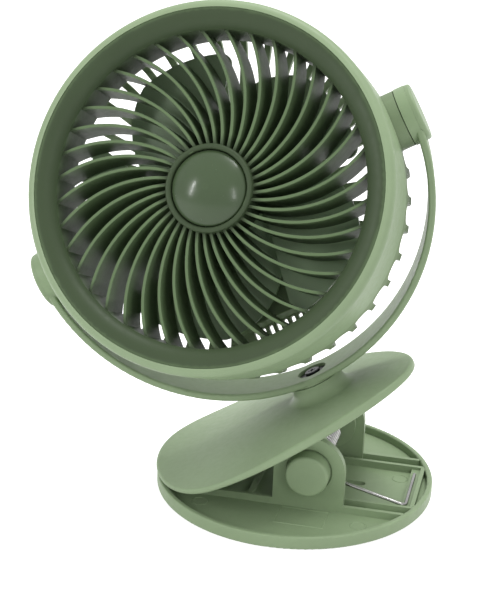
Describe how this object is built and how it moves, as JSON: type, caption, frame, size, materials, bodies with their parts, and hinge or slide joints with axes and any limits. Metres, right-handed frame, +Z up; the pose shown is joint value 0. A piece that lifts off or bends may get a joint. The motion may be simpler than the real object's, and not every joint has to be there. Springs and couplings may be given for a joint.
{
  "type": "clip fan",
  "caption": "Small cordless drum fan that tilts in a U-shaped yoke, swivelling on the upper plate of a round spring clip with a torsion spring.",
  "frame": {"origin": "centre of the lower clip plate's underside", "axes": "+Z up, +X along the clip towards its handles, +Y away from the face of the fan"},
  "size_m": [0.1594, 0.1103, 0.1897],
  "materials": {
    "pale_green_plastic": "satin moulded ABS, pale green",
    "grille_plastic": "satin moulded ABS, grey-green",
    "cap_plastic": "glossy moulded cap",
    "rear_plastic": "satin moulded ABS",
    "blade_plastic": "satin moulded impeller",
    "steel": "bright zinc plated",
    "dark_steel": "black oxide screw and washer",
    "spring_steel": "drawn spring wire",
    "brass_plated": "brass plated screw",
    "bronze": "sintered bronze",
    "magnet": "ferrite",
    "dark_plastic": "dark moulding",
    "board": "glass epoxy with green mask",
    "cell_wrap": "aluminium foil pouch",
    "light_pipe": "clear polycarbonate"
  },
  "bodies": {
    "clip_base": {"lower_jaw": "pale_green_plastic", "hinge_pin": "steel", "hinge_caps": "pale_green_plastic", "spring_sleeve": "dark_plastic", "clip_spring": "spring_steel"},
    "clip_lever": {"upper_jaw": "pale_green_plastic", "swivel_washer": "dark_steel", "swivel_screw": "dark_steel"},
    "yoke": {"yoke": "pale_green_plastic", "pivot_caps": "pale_green_plastic"},
    "head": {"drum_shell": "pale_green_plastic", "front_grille": "grille_plastic", "hub_cap": "cap_plastic", "rear_cover": "rear_plastic", "pivot_washers": "steel", "pivot_screws": "steel", "motor_can": "steel", "motor_bushes": "bronze", "motor_magnets": "magnet", "motor_collar": "dark_plastic", "motor_screws": "brass_plated", "electronics_box": "rear_plastic", "box_screw": "brass_plated", "circuit_board": "board", "battery_cells": "cell_wrap", "power_switch": "dark_plastic", "indicator_lights": "light_pipe", "usb_socket": "steel"},
    "impeller": {"impeller": "blade_plastic", "motor_shaft": "steel", "motor_rotor": "steel"},
    "power_button": {"power_button": "grille_plastic"}
  },
  "joints": [
    {"name": "clip_open", "type": "hinge", "parent": "clip_base", "child": "clip_lever", "pos_m": [0.01, 0, 0.0184], "axis": [0, 1, 0], "range_deg": [0, 45], "stiffness_Nm_per_rad": 0.5, "springref_deg": -85.94},
    {"name": "yoke_swivel", "type": "hinge", "parent": "clip_lever", "child": "yoke", "pos_m": [0.0188, 0, 0.02314], "axis": [-0.4741, 0, 0.8805], "continuous": true},
    {"name": "head_tilt", "type": "hinge", "parent": "yoke", "child": "head", "pos_m": [-0.03078, 0, 0.11524], "axis": [0.8696, 0.1564, 0.4683], "range_deg": [-165, 33]},
    {"name": "fan_spin", "type": "hinge", "parent": "head", "child": "impeller", "pos_m": [-0.03078, 0, 0.11524], "axis": [-0.0576, -0.9098, 0.4109], "continuous": true},
    {"name": "power_button", "type": "slide", "parent": "head", "child": "power_button", "axis": [-0.0576, -0.9098, 0.4109], "range_m": [0, 0.0006], "stiffness_N_per_m": 1500, "springref_m": -0.0006}
  ]
}
